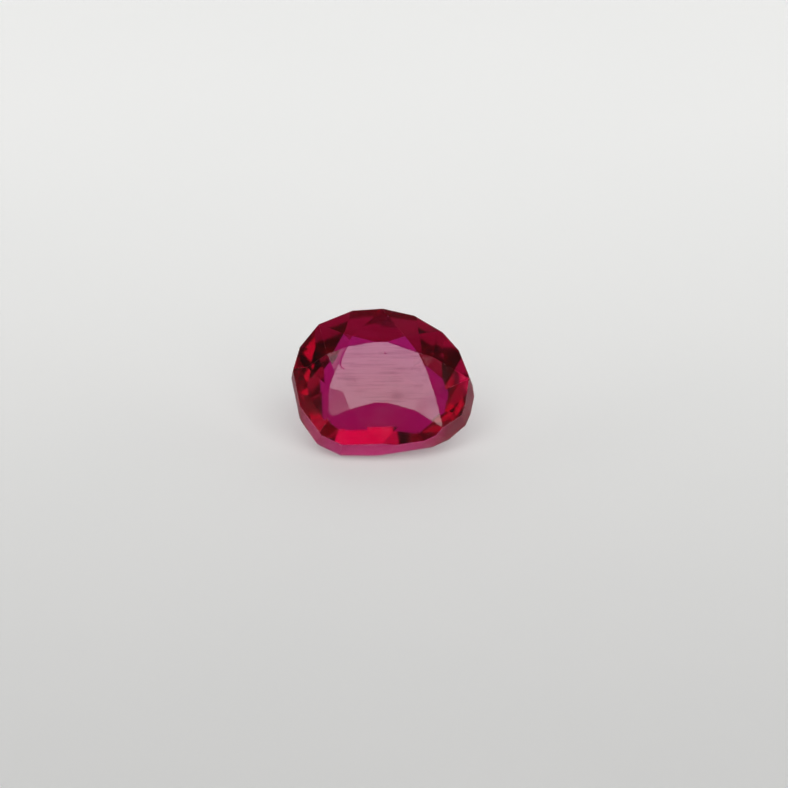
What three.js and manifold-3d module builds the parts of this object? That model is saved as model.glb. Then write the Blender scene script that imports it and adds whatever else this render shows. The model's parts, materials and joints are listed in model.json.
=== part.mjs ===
// A cut ruby: an oval cushion with a brilliant crown, a thick flared girdle and a stepped pavilion.
// The stone is ground from a block facet by facet with its table up, as a cutter works,
// and is then turned to lie on the long facet in front of its keel, with its table leaning towards -Y.
// Millimetres and degrees. Azimuths run from +X, the stone's length, towards +Y.

import * as THREE from "three";
import { mergeVertices } from "three/addons/utils/BufferGeometryUtils.js";
import Module from "manifold-3d";

// Heights of the rows, measured from the widest outline
const CROWN_EDGE_HEIGHT = 0.89;
const CROWN_HEIGHT = 0.64;
const TABLE_HEIGHT = CROWN_EDGE_HEIGHT + CROWN_HEIGHT;

// How far the crown's edge dips between the kites' tips
const EDGE_DIP = 0.12;

// The crown's outer edge, a hand-cut oval: azimuth and radius of each corner.
// Every other corner, from the first, is the tip of a kite.
const CROWN_EDGE = [
  [-2, 3.77],
  [20, 3.52],
  [41, 3.23],
  [66, 3.09],
  [90, 3.1],
  [115, 3.31],
  [140, 3.64],
  [160, 3.87],
  [180, 3.85],
  [199, 3.69],
  [217, 3.68],
  [240, 3.55],
  [269, 3.11],
  [299, 3.4],
  [318, 3.52],
  [336, 3.77],
];

// The widest outline, under the flare: azimuth and radius of each corner
const OUTLINE = [
  [-2, 3.93],
  [20, 3.63],
  [40, 3.4],
  [65, 3.27],
  [90, 3.27],
  [112, 3.45],
  [138, 3.78],
  [158, 3.93],
  [177, 4.0],
  [204, 3.97],
  [224, 3.97],
  [241, 3.74],
  [269, 3.29],
  [306, 3.63],
  [318, 3.87],
  [332, 4.1],
  [340, 4.08],
  [351, 4.04],
];
const LEAST_FLARE = 0.06;

// The table: for each kite, the one or two corners where it reaches the table
const TABLE = [
  [[2, 1.89]],
  [[29, 1.76]],
  [
    [82, 1.36],
    [104, 1.39],
  ],
  [[143, 1.9]],
  [[180, 2.06]],
  [[209, 1.94]],
  [
    [255, 1.46],
    [277, 1.43],
  ],
  [[323, 2.01]],
];

// How far down the crown the star facets reach
const STAR_SHARE = 0.17;

// The tip of the kite at the front left is ground a little steeper
const TIP_KITE = 5;
const TIP_SHARE = 0.56;
const TIP_STEEPER = 3;

// The upright edge under the flare, and its thicker stretch at the front left
const EDGE_THICKNESS = 0.14;
const THICK_EDGE = 0.28;
const THICK_EDGE_FROM = 204;
const THICK_EDGE_TO = 260;

// The keel, which lies towards the front: its two ends, seen from above, and its depth under the edge
const KEEL = [
  [-1.9, -0.9],
  [1.3, -1.2],
];
const KEEL_DEPTH = 2.6;

// The pavilion's levels, as shares of the depth and of the way from the keel out to the girdle
const LEVELS = [
  { depth: 0, reach: 1 },
  { depth: 0.37, reach: 0.68 },
  { depth: 0.58, reach: 0.48 },
  { depth: 1, reach: 0 },
];
const STEP_AZIMUTHS = [-90, -50, -18, 52, 98, 135, 184, 224];

const BLOCK = 12;
const SAME_CORNER = 0.004;
const RUBY_RED = 0x8f1446;
const POLISHED = 0.06;

const wasm = await Module();
wasm.setup();

const toRadians = THREE.MathUtils.degToRad;

function at([azimuth, radius], height) {
  const turn = toRadians(azimuth);
  return new THREE.Vector3(radius * Math.cos(turn), radius * Math.sin(turn), height);
}

// A facet that faces an azimuth: slope 0 lies flat and 90 stands upright, side is 1 for up and -1 for down
function facetFacing(azimuth, slope, side, point) {
  const turn = toRadians(azimuth);
  const lean = toRadians(slope);
  const outward = new THREE.Vector3(
    Math.cos(turn) * Math.sin(lean),
    Math.sin(turn) * Math.sin(lean),
    side * Math.cos(lean),
  );
  return new THREE.Plane().setFromNormalAndCoplanarPoint(outward, point);
}

// A facet through three points, facing away from the middle of the stone
function facetThrough(a, b, c) {
  const plane = new THREE.Plane().setFromCoplanarPoints(a, b, c);
  return plane.constant > 0 ? plane.negate() : plane;
}

// Where two facets and a height meet
function meeting(first, second, height) {
  const [a, b] = [first.normal, second.normal];
  const [p, q] = [-first.constant - a.z * height, -second.constant - b.z * height];
  const spread = a.x * b.y - a.y * b.x;
  return new THREE.Vector3((p * b.y - q * a.y) / spread, (a.x * q - b.x * p) / spread, height);
}

// The crown: table, kites, stars and the halves beside the girdle
function crownFacets() {
  const table = TABLE.map((corners) => corners.map((corner) => at(corner, TABLE_HEIGHT)));
  const edge = CROWN_EDGE.map((corner, i) => at(corner, CROWN_EDGE_HEIGHT - (i % 2) * EDGE_DIP));
  const edgeAt = (i) => edge[(i + edge.length) % edge.length];

  const kites = table.map((corners, k) => {
    const along = edgeAt(2 * k + 1).clone().sub(edgeAt(2 * k - 1));
    const second = corners[1] ?? corners[0].clone().add(along);
    return facetThrough(corners[0], second, edgeAt(2 * k));
  });

  const starTipHeight = TABLE_HEIGHT - STAR_SHARE * CROWN_HEIGHT;
  const between = kites.flatMap((kite, k) => {
    const next = (k + 1) % kites.length;
    const tip = meeting(kite, kites[next], starTipHeight);
    const [near, middle, far] = [edgeAt(2 * k), edgeAt(2 * k + 1), edgeAt(2 * k + 2)];
    return [
      facetThrough(table[k].at(-1), table[next][0], tip),
      facetThrough(tip, near, middle),
      facetThrough(tip, middle, far),
    ];
  });

  const top = new THREE.Plane(new THREE.Vector3(0, 0, 1), -TABLE_HEIGHT);
  return [top, ...kites, ...between, tipFacet(kites[TIP_KITE], table[TIP_KITE][0], edgeAt(2 * TIP_KITE))];
}

// The steeper facet on a kite's tip, hinged on a level line across the kite
function tipFacet(kite, corner, girdleTip) {
  const hinge = corner.clone().lerp(girdleTip, TIP_SHARE);
  const azimuth = THREE.MathUtils.radToDeg(Math.atan2(kite.normal.y, kite.normal.x));
  const slope = THREE.MathUtils.radToDeg(Math.acos(kite.normal.z));
  return facetFacing(azimuth, slope + TIP_STEEPER, 1, hinge);
}

// How far a level outline reaches towards an azimuth
function reachOf(corners, azimuth) {
  return furthest(corners.map((corner) => at(corner, 0)), azimuth);
}

function furthest(points, azimuth) {
  const towards = at([azimuth, 1], 0);
  return Math.max(...points.map((point) => point.dot(towards)));
}

// The sides of the widest outline
function outlineSides() {
  return OUTLINE.map((corner, i) => {
    const along = at(OUTLINE[(i + 1) % OUTLINE.length], 0).sub(at(corner, 0));
    const azimuth = THREE.MathUtils.radToDeg(Math.atan2(-along.x, along.y));
    const thick = corner[0] >= THICK_EDGE_FROM && corner[0] < THICK_EDGE_TO;
    const thickness = thick ? THICK_EDGE : EDGE_THICKNESS;
    return { azimuth, reach: reachOf([corner], azimuth), thickness };
  });
}

// The girdle: on each side an upright edge, and above it a facet that leans in to the crown's edge
function girdleFacets(sides) {
  return sides.flatMap(({ azimuth, reach }) => {
    const foot = at([azimuth, reach], 0);
    const flare = Math.max(LEAST_FLARE, reach - reachOf(CROWN_EDGE, azimuth));
    const slope = THREE.MathUtils.radToDeg(Math.atan2(CROWN_EDGE_HEIGHT, flare));
    return [facetFacing(azimuth, slope, 1, foot), facetFacing(azimuth, 90, 1, foot)];
  });
}

// The pavilion: a first step on every side, then fewer and larger facets down to the keel
function pavilionFacets(sides) {
  return [
    ...sides.map(({ azimuth, thickness }) => stepFacet(azimuth, 0, thickness)),
    ...[1, 2].flatMap((step) => STEP_AZIMUTHS.map((azimuth) => stepFacet(azimuth, step, EDGE_THICKNESS))),
  ];
}

// The facet between a level and the next one down, on one side
function stepFacet(azimuth, step, thickness) {
  const [upper, lower] = [levelAt(azimuth, LEVELS[step]), levelAt(azimuth, LEVELS[step + 1])];
  const slope = THREE.MathUtils.radToDeg(Math.atan2(lower.depth - upper.depth, upper.reach - lower.reach));
  const depth = thickness + upper.depth;
  return facetFacing(azimuth, slope, -1, at([azimuth, upper.reach], -depth));
}

function levelAt(azimuth, level) {
  const keel = furthest(KEEL.map(([x, y]) => new THREE.Vector3(x, y, 0)), azimuth);
  const girdle = reachOf(OUTLINE, azimuth);
  return { depth: level.depth * KEEL_DEPTH, reach: keel + (girdle - keel) * level.reach };
}

// The slope of the lowest step at the front, on which the stone lies
function restingSlope() {
  const normal = stepFacet(-90, 2, EDGE_THICKNESS).normal;
  return Math.atan2(-normal.y, -normal.z);
}

function solidOf(geometry) {
  geometry.deleteAttribute("normal");
  geometry.deleteAttribute("uv");
  const merged = mergeVertices(geometry);
  const vertProperties = new Float32Array(merged.attributes.position.array);
  const triVerts = new Uint32Array(merged.index.array);
  return new wasm.Manifold(new wasm.Mesh({ numProp: 3, vertProperties, triVerts }));
}

// All that lies beyond a facet's plane
function beyond(plane) {
  const block = new THREE.BoxGeometry(3 * BLOCK, 3 * BLOCK, 3 * BLOCK);
  block.translate(0, 0, 1.5 * BLOCK - plane.constant);
  const turn = new THREE.Quaternion().setFromUnitVectors(new THREE.Vector3(0, 0, 1), plane.normal);
  return solidOf(block.applyQuaternion(turn));
}

function groundStone() {
  const sides = outlineSides();
  const facets = [...crownFacets(), ...girdleFacets(sides), ...pavilionFacets(sides)];
  const block = solidOf(new THREE.BoxGeometry(BLOCK, BLOCK, BLOCK));
  return facets.reduce((stone, plane) => stone.subtract(beyond(plane)), block);
}

// Corners closer than SAME_CORNER are one, where more than three facets meet
function geometryOf(solid) {
  const { vertProperties, triVerts } = solid.getMesh();
  const cut = new THREE.BufferGeometry();
  cut.setAttribute("position", new THREE.BufferAttribute(vertProperties, 3));
  cut.setIndex(new THREE.BufferAttribute(triVerts, 1));
  const joined = mergeVertices(cut, SAME_CORNER);
  const kept = [];
  for (let i = 0; i < joined.index.count; i += 3) {
    const [a, b, c] = joined.index.array.subarray(i, i + 3);
    if (a !== b && b !== c && c !== a) kept.push(a, b, c);
  }
  joined.setIndex(kept);
  const faceted = joined.toNonIndexed();
  faceted.computeVertexNormals();
  return faceted;
}

const material = new THREE.MeshStandardMaterial({ color: RUBY_RED, roughness: POLISHED, metalness: 0 });
const ruby = new THREE.Mesh(geometryOf(groundStone()), material);
ruby.name = "ruby";
ruby.rotation.x = restingSlope();
ruby.updateMatrixWorld();

// The origin is under the middle of the stone, on the surface that it rests on
const box = new THREE.Box3().setFromObject(ruby, true);
const middle = box.getCenter(new THREE.Vector3());
ruby.position.set(-middle.x, -middle.y, -box.min.z);

const part = new THREE.Group();
part.add(ruby);

export default part;
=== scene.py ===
"""The looks of a cut ruby that lies on a pale floor under a soft studio light.

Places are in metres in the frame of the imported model: +X along the stone, +Z up. The stone's own measures
are in millimetres in its own frame, with the table level, and the angles set here are in degrees.
"""

import json
import math

import bmesh
import bpy
from mathutils import Matrix, Vector


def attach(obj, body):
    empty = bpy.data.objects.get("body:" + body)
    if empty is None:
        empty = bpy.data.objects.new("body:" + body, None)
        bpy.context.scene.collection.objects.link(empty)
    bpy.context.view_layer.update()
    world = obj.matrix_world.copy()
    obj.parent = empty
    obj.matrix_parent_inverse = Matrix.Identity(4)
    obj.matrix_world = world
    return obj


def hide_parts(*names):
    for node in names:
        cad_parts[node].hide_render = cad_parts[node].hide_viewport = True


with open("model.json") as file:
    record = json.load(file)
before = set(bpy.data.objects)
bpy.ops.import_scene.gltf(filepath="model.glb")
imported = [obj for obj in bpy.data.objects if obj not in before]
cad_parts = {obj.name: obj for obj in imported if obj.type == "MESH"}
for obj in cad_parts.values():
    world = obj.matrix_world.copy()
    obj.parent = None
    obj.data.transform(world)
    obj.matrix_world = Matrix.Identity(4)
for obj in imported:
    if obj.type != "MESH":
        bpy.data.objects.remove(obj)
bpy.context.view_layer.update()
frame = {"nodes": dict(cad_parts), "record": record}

MM = 0.001

# The stone's own frame: its table level, and its origin on the widest outline, this far under the table
TABLE_HEIGHT = 1.53
table = next(mount for mount in frame["record"]["mounts"] if mount["name"] == "table")
TABLE_NORMAL = Vector(table["axis"])
RESTING_SLOPE = math.atan2(-TABLE_NORMAL.y, TABLE_NORMAL.z)
STONE_ORIGIN = Vector(table["pos_m"]) - TABLE_HEIGHT * MM * TABLE_NORMAL
LEAN = Matrix.Rotation(RESTING_SLOPE, 3, "X")


def stone_direction(right, up):
    """The direction at these angles from the table's normal, seen with the table facing the viewer."""
    right, up = math.radians(right), math.radians(up)
    direction = Vector((math.sin(right) * math.cos(up), math.sin(up), math.cos(right) * math.cos(up)))
    return LEAN @ direction


# Camera: 18 degrees in front of the table's normal, with the stone's origin at one pixel of the picture
CAMERA_TILT = -18
CAMERA_DISTANCE = 0.25
CAMERA_CLIP = (0.01, 10)
SENSOR_WIDTH = 36
PIXELS_PER_MM = 22.9
FRAME_PIXELS = 788
STONE_AT = (382.8, 382.3)


def make_camera():
    data = bpy.data.cameras.new("camera")
    data.sensor_width = SENSOR_WIDTH
    data.lens = SENSOR_WIDTH * CAMERA_DISTANCE * PIXELS_PER_MM / MM / FRAME_PIXELS
    data.clip_start, data.clip_end = CAMERA_CLIP
    camera = bpy.data.objects.new("camera", data)
    back = stone_direction(0, CAMERA_TILT)
    turn = back.to_track_quat("Z", "Y")
    pixel = MM / PIXELS_PER_MM
    aside = (FRAME_PIXELS / 2 - STONE_AT[0]) * pixel
    below = (FRAME_PIXELS / 2 - STONE_AT[1]) * pixel
    aim = STONE_ORIGIN + turn @ Vector((aside, -below, 0))
    camera.rotation_mode = "QUATERNION"
    camera.rotation_quaternion = turn
    camera.location = aim + back * CAMERA_DISTANCE
    bpy.context.collection.objects.link(camera)
    bpy.context.scene.camera = camera


class Nodes:
    """Short calls for building a node tree."""

    def __init__(self, tree):
        self.tree = tree
        tree.nodes.clear()

    def add(self, kind, inputs=None, **settings):
        node = self.tree.nodes.new(kind)
        for name, value in settings.items():
            setattr(node, name, value)
        for name, value in (inputs or {}).items():
            if isinstance(value, bpy.types.NodeSocket):
                self.tree.links.new(value, node.inputs[name])
            else:
                node.inputs[name].default_value = value
        return node

    def math(self, operation, a, b=0.0, c=0.0):
        return self.add("ShaderNodeMath", {0: a, 1: b, 2: c}, operation=operation).outputs[0]

    def mix(self, share, a, b):
        return self.add("ShaderNodeMix", {0: share, 2: a, 3: b}).outputs[0]

    def mix_colour(self, share, a, b):
        return self.add("ShaderNodeMix", {0: share, 6: a, 7: b}, data_type="RGBA").outputs[2]

    def smooth(self, value, low, high, start=0.0, end=1.0):
        inputs = {"Value": value, "From Min": low, "From Max": high, "To Min": start, "To Max": end}
        node = self.add("ShaderNodeMapRange", inputs, interpolation_type="SMOOTHSTEP")
        return node.outputs["Result"]

    def noise(self, place, stretch, scale, detail):
        stretched = self.add("ShaderNodeVectorMath", {0: place, 1: stretch}, operation="MULTIPLY").outputs[0]
        inputs = {"Vector": stretched, "Scale": scale, "Detail": detail}
        return self.add("ShaderNodeTexNoise", inputs).outputs[0]


# Light: a room that is dim in front and lighter behind and beside. Its fades run along parts of the
# direction, and its light sides lie lower than they would by the sideways part alone
ROOM_FRONT = 0.035
ROOM_BACK = 0.8
ROOM_SIDES = 1.6
BACK_FADE = (0.4, 0.8)
SIDES_FADE = (0.56, 0.8)
SIDES_LOWERED = -0.5
LIGHT_COLOUR = (1.0, 0.99, 0.985, 1)

# One large soft panel in that room, in front of the table: where it ends, from the table's normal
PANEL = 2.4
PANEL_SIDES = (-29, 33)
PANEL_ENDS = (-19, 25.5)
PANEL_SOFTNESS = 1.2


def make_world():
    world = bpy.data.worlds.new("studio")
    world.use_nodes = True
    n = Nodes(world.node_tree)
    direction = n.add("ShaderNodeTexCoord").outputs["Generated"]
    parts = n.add("ShaderNodeSeparateXYZ", {0: direction}).outputs
    room = n.smooth(parts["Y"], *BACK_FADE, ROOM_FRONT, ROOM_BACK)
    low_beside = n.math("MULTIPLY_ADD", parts["Z"], SIDES_LOWERED, n.math("ABSOLUTE", parts["X"]))
    beside = n.smooth(low_beside, *SIDES_FADE)
    room = n.mix(beside, room, ROOM_SIDES)

    axes = [stone_direction(90, 0), stone_direction(0, 90), stone_direction(0, 0)]
    x, y, z = [
        n.add("ShaderNodeVectorMath", {0: direction, 1: axis}, operation="DOT_PRODUCT").outputs["Value"]
        for axis in axes
    ]
    panel = 1.0
    soft = math.radians(PANEL_SOFTNESS)
    for angle, ends in ((n.math("ARCTAN2", x, z), PANEL_SIDES), (n.math("ARCSINE", y), PANEL_ENDS)):
        low, high = [math.radians(end) for end in ends]
        rise = n.smooth(angle, low - soft, low + soft)
        fall = n.smooth(angle, high - soft, high + soft, 1.0, 0.0)
        panel = n.math("MULTIPLY", panel, n.math("MULTIPLY", rise, fall))
    strength = n.mix(panel, room, PANEL)
    background = n.add("ShaderNodeBackground", {"Color": LIGHT_COLOUR, "Strength": strength})
    n.add("ShaderNodeOutputWorld", {"Surface": background.outputs[0]})
    bpy.context.scene.world = world


# Floor: a pale matt card that glows a little, most at the back, with a film of air under the stone.
# Its clouds are a noise: how it is stretched, its scale and its detail
FLOOR_RADIUS = 0.8
FLOOR_CORNERS = 96
FLOOR_ROUGHNESS = 0.9
FLOOR_SHADES = [(0.80, 0.81, 0.80, 1), (0.84, 0.84, 0.83, 1)]
FLOOR_CLOUDS = ((1, 1, 1), 60.0, 3.0)
AIR_GAP = 0.02 * MM
GLOW_COLOUR = (0.99, 1, 0.99, 1)
GLOW_FRONT = 0.06
GLOW_BACK = 0.30
GLOW_REACH = 0.045


def make_floor():
    mesh = bpy.data.meshes.new("floor")
    bm = bmesh.new()
    bmesh.ops.create_circle(bm, cap_ends=True, segments=FLOOR_CORNERS, radius=FLOOR_RADIUS)
    bm.to_mesh(mesh)
    bm.free()
    floor = bpy.data.objects.new("floor", mesh)
    floor.location.z = -AIR_GAP
    bpy.context.collection.objects.link(floor)
    material = bpy.data.materials.new("floor_card")
    material.use_nodes = True
    n = Nodes(material.node_tree)
    place = n.add("ShaderNodeTexCoord").outputs["Object"]
    along = n.add("ShaderNodeSeparateXYZ", {0: place}).outputs["Y"]
    glow = n.smooth(along, -GLOW_REACH, GLOW_REACH, GLOW_FRONT, GLOW_BACK)
    clouds = n.noise(place, *FLOOR_CLOUDS)
    shade = n.mix_colour(clouds, *FLOOR_SHADES)
    shader = n.add(
        "ShaderNodeBsdfPrincipled",
        {
            "Base Color": shade,
            "Roughness": FLOOR_ROUGHNESS,
            "Emission Color": GLOW_COLOUR,
            "Emission Strength": glow,
        },
    )
    n.add("ShaderNodeOutputMaterial", {"Surface": shader.outputs[0]})
    mesh.materials.append(material)


# The stone's matter: absorption in each metre is the density times what the colour lacks of white
CORUNDUM_IOR = 1.77
ABSORPTION_DENSITY = 1500
ABSORPTION_COLOUR = (0.907, 0, 0.71, 1)

# Where the crown begins, and how far under the table's level its look fades in
CROWN_FROM = 0.5
TABLE_FADE = (0.02, 0.005)

# Noises: how each is stretched, its scale and its detail, and between which values most of it lies
FINE_LINES = ((0.4, 6.0, 6.0), 1.3, 3.0)
FAINT_LINES = ((0.2, 6.0, 6.0), 3.0, 3.0)
SMEARS = ((0.8, 1.2, 1.0), 1.6, 2.0)
GRIT = ((1, 1, 1), 22.0, 4.0)
NOISE_SPREAD = (0.3, 0.7)

# Roughness: that of the crown goes with the smears, and that of ground and worn places with the grit
TABLE_ROUGHNESS = 0.02
PAVILION_ROUGHNESS = 0.03
CROWN_ROUGHNESS = (0.10, 0.16)
GROUND_ROUGHNESS = (0.5, 0.7)
WORN_ROUGHNESS = (0.12, 0.3)

# Scratches and smears: the values of their noises between which they appear, and how much they dull the
# table. Away from the table they keep only a share of that
SCRATCHES_FADE = (0.47, 0.62)
SMEARS_FADE = (0.52, 0.70)
SCRATCHES_DULL = 0.5
SMEARS_DULL = 0.2
DULL_ELSEWHERE = 0.15

# A smudge on the table: its middle, its half sizes, how many of those it fades over, how much it dulls in
# its middle, and how far the scratches fray it
SMUDGE_AT = (0.62, -1.1, TABLE_HEIGHT)
SMUDGE_SIZE = (0.36, 0.24, 0.1)
SMUDGE_FADE = (0.9, 2.3)
SMUDGE_DULL = 0.75
SMUDGE_FRAYED = 1.5

# What passes and what is mirrored, where the surface is clean, fully dulled or ground
CLEAN = (1, 1, 1, 1)
DULLED_TINT = (0.6, 0.62, 0.62, 1)
DULLED_GLOSS = (0.6, 0.58, 0.58, 1)
GROUND_GLOSS = (0.5, 0.42, 0.44, 1)

# How high the relief of the table's lines and of the ground girdle's grains is
LINES_RELIEF = 0.0006
GRAINS_RELIEF = 0.010


def ruby_material():
    material = bpy.data.materials.new("ruby")
    material.use_nodes = True
    n = Nodes(material.node_tree)

    # Millimetres in the stone's own frame
    place = n.add("ShaderNodeTexCoord").outputs["Object"]
    moved = n.add("ShaderNodeVectorMath", {0: place, 1: STONE_ORIGIN}, operation="SUBTRACT").outputs[0]
    turned = n.add(
        "ShaderNodeVectorRotate",
        {"Vector": moved, "Rotation": (-RESTING_SLOPE, 0, 0)},
        rotation_type="EULER_XYZ",
    ).outputs[0]
    place = n.add("ShaderNodeVectorMath", {0: turned, "Scale": 1 / MM}, operation="SCALE").outputs[0]
    height = n.add("ShaderNodeSeparateXYZ", {0: place}).outputs["Z"]
    on_crown = n.math("GREATER_THAN", height, CROWN_FROM)
    on_table = n.smooth(height, *[TABLE_HEIGHT - under for under in TABLE_FADE])

    ground = n.add("ShaderNodeAttribute", attribute_name="ground").outputs["Fac"]
    worn = n.add("ShaderNodeAttribute", attribute_name="worn").outputs["Fac"]
    fine_lines = n.noise(place, *FINE_LINES)
    faint_lines = n.noise(place, *FAINT_LINES)
    smears = n.noise(place, *SMEARS)
    grit = n.noise(place, *GRIT)

    # Fine scratches left by polishing, and smears between them, take a little light from the table
    both_lines = n.math("MULTIPLY", n.math("ADD", fine_lines, faint_lines), 1 / 2)
    scratched = n.math("MULTIPLY", n.smooth(both_lines, *SCRATCHES_FADE), SCRATCHES_DULL)
    smeared = n.math("MULTIPLY", n.smooth(smears, *SMEARS_FADE), SMEARS_DULL)
    dulled = n.math("MULTIPLY", n.math("ADD", scratched, smeared), n.mix(on_table, DULL_ELSEWHERE, 1.0))

    # The smudge: how far away its middle is in half sizes
    away = n.add("ShaderNodeVectorMath", {0: place, 1: SMUDGE_AT}, operation="SUBTRACT").outputs[0]
    away = n.add("ShaderNodeVectorMath", {0: away, 1: SMUDGE_SIZE}, operation="DIVIDE").outputs[0]
    away = n.add("ShaderNodeVectorMath", {0: away}, operation="LENGTH").outputs["Value"]
    frayed = n.math("MULTIPLY_ADD", fine_lines, SMUDGE_FRAYED, away)
    dulled = n.math("MAXIMUM", dulled, n.smooth(frayed, *SMUDGE_FADE, SMUDGE_DULL, 0.0))
    tint = n.mix_colour(dulled, CLEAN, DULLED_TINT)
    gloss = n.mix_colour(ground, n.mix_colour(dulled, CLEAN, DULLED_GLOSS), GROUND_GLOSS)

    crown_roughness = n.smooth(smears, *NOISE_SPREAD, *CROWN_ROUGHNESS)
    polished = n.mix(on_table, n.mix(on_crown, PAVILION_ROUGHNESS, crown_roughness), TABLE_ROUGHNESS)
    matt = n.smooth(grit, *NOISE_SPREAD, *GROUND_ROUGHNESS)
    rubbed = n.smooth(grit, *NOISE_SPREAD, *WORN_ROUGHNESS)
    roughness = n.mix(ground, n.mix(worn, polished, rubbed), matt)

    lines = n.math("MULTIPLY", fine_lines, n.math("MULTIPLY", on_table, LINES_RELIEF))
    grains = n.math("MULTIPLY", grit, n.math("MULTIPLY", ground, GRAINS_RELIEF))
    relief = n.math("ADD", lines, grains)
    bump = n.add("ShaderNodeBump", {"Height": relief, "Strength": 1.0, "Distance": MM}).outputs[0]

    shader = n.add(
        "ShaderNodeBsdfPrincipled",
        {
            "Base Color": tint,
            "Roughness": roughness,
            "IOR": CORUNDUM_IOR,
            "Specular Tint": gloss,
            "Transmission Weight": 1.0,
            "Normal": bump,
        },
    )
    volume = n.add(
        "ShaderNodeVolumeAbsorption",
        {"Color": ABSORPTION_COLOUR, "Density": ABSORPTION_DENSITY},
    )
    n.add("ShaderNodeOutputMaterial", {"Surface": shader.outputs[0], "Volume": volume.outputs[0]})
    return material


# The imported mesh, joined again: corners this near are one, and faces this little apart are one facet
SAME_CORNER = 0.002
SAME_PLANE = 0.2

# Worn edges: the flat's width on an edge that turns by more than this angle, unless both its facets look
# down by more than this part of their normals. Corners this near a cut lie on it
WORN_EDGE = 0.025
WORN_ANGLE = 10
LOOKS_DOWN = -0.2
ON_CUT = 1e-5

# A face within this angle of a facet's normal lies on that facet, and girdle faces look up by such a part
SAME_FACET = math.cos(math.radians(1))
GIRDLE_STEEPNESS = (-0.02, 0.40)

# Hollows in the table, each cut by a stretched ball of this fineness: its middle, its half length, half
# width and depth, and the azimuth of its length
BALL_FINENESS = 2
PITS = [
    (0.10, 0.85, 0.07, 0.05, 0.02, 0),
    (-1.21, -0.44, 0.05, 0.04, 0.015, 20),
]
CHIP = [
    (-1.70, 0.77, 0.11, 0.03, 0.05, 60),
    (-1.77, 0.62, 0.11, 0.03, 0.05, 65),
    (-1.82, 0.47, 0.11, 0.035, 0.05, 75),
    (-1.84, 0.33, 0.10, 0.035, 0.05, 95),
    (-1.80, 0.20, 0.09, 0.035, 0.04, 125),
    (-1.72, 0.14, 0.08, 0.03, 0.04, 160),
]


def wear_edges(bm):
    """Grinds a narrow flat along each clear edge of the crown and girdle, by one plane each.

    The stone is convex, so such a plane touches nothing else.
    """
    flats = []
    for edge in bm.edges:
        angle = edge.calc_face_angle()
        underneath = all(face.normal.z < LOOKS_DOWN for face in edge.link_faces)
        if angle > math.radians(WORN_ANGLE) and not underneath:
            both = edge.link_faces[0].normal + edge.link_faces[1].normal
            ridge = sum(face.normal.dot(face.calc_center_median()) for face in edge.link_faces) / both.length
            flats.append((both.normalized(), ridge - WORN_EDGE / 2 * math.tan(angle / 2)))
    for outward, reach in flats:
        everything = bm.verts[:] + bm.edges[:] + bm.faces[:]
        cut = bmesh.ops.bisect_plane(
            bm, geom=everything, dist=ON_CUT, plane_co=outward * reach, plane_no=outward, clear_outer=True
        )
        rim = [part for part in cut["geom_cut"] if isinstance(part, bmesh.types.BMEdge)]
        bmesh.ops.contextual_create(bm, geom=rim)
    bm.normal_update()


def cut_hollow(stone, x, y, length, width, depth, azimuth):
    """Takes a shallow hollow out of the table. The stone is in millimetres in its own frame."""
    mesh = bpy.data.meshes.new("hollow")
    bm = bmesh.new()
    bmesh.ops.create_icosphere(bm, subdivisions=BALL_FINENESS, radius=1.0)
    shape = Matrix.Rotation(math.radians(azimuth), 4, "Z") @ Matrix.Diagonal((length, width, depth, 1))
    bm.transform(Matrix.Translation((x, y, TABLE_HEIGHT)) @ shape)
    bm.to_mesh(mesh)
    bm.free()
    hollow = bpy.data.objects.new("hollow", mesh)
    bpy.context.collection.objects.link(hollow)
    cut = stone.modifiers.new("cut", "BOOLEAN")
    cut.operation = "DIFFERENCE"
    cut.solver = "EXACT"
    cut.object = hollow
    applied = bpy.data.meshes.new_from_object(stone.evaluated_get(bpy.context.evaluated_depsgraph_get()))
    stone.modifiers.clear()
    stone.data = applied
    bpy.data.objects.remove(hollow)


def mark_finish(mesh, facet_normals):
    """Marks the finely ground girdle, and the worn edges and hollows, which lie on no facet."""
    ground = mesh.attributes.new("ground", "FLOAT", "FACE")
    worn = mesh.attributes.new("worn", "FLOAT", "FACE")
    low, high = GIRDLE_STEEPNESS
    for polygon in mesh.polygons:
        on_facet = any(polygon.normal.dot(normal) > SAME_FACET for normal in facet_normals)
        ground.data[polygon.index].value = 1.0 if low < polygon.normal.z < high else 0.0
        worn.data[polygon.index].value = 0.0 if on_facet else 1.0


def make_stone():
    mesh = frame["nodes"]["ruby"].data.copy()
    to_stone = (Matrix.Translation(STONE_ORIGIN) @ LEAN.to_4x4() @ Matrix.Scale(MM, 4)).inverted()
    bm = bmesh.new()
    bm.from_mesh(mesh)
    bm.transform(to_stone)
    bmesh.ops.remove_doubles(bm, verts=bm.verts, dist=SAME_CORNER)
    bmesh.ops.dissolve_limit(bm, angle_limit=math.radians(SAME_PLANE), verts=bm.verts, edges=bm.edges)
    bm.normal_update()
    facet_normals = [face.normal.copy() for face in bm.faces]
    wear_edges(bm)
    bm.to_mesh(mesh)
    bm.free()
    stone = bpy.data.objects.new("ruby_stone", mesh)
    bpy.context.collection.objects.link(stone)
    for hollow in PITS + CHIP:
        cut_hollow(stone, *hollow)
    mark_finish(stone.data, facet_normals)
    stone.data.name = "ruby_stone"
    stone.data.transform(to_stone.inverted())
    stone.data.materials.clear()
    stone.data.materials.append(ruby_material())
    stone.data.shade_flat()
    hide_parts("ruby")
    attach(stone, "root")


# Light bounces often inside a cut stone
BOUNCES = 32
GLOSSY_BOUNCES = 16


def set_render():
    scene = bpy.context.scene
    scene.view_settings.view_transform = "Standard"
    scene.cycles.max_bounces = BOUNCES
    scene.cycles.transmission_bounces = BOUNCES
    scene.cycles.glossy_bounces = GLOSSY_BOUNCES
    scene.cycles.caustics_refractive = True
    scene.cycles.caustics_reflective = True


make_camera()
make_world()
make_floor()
make_stone()
set_render()
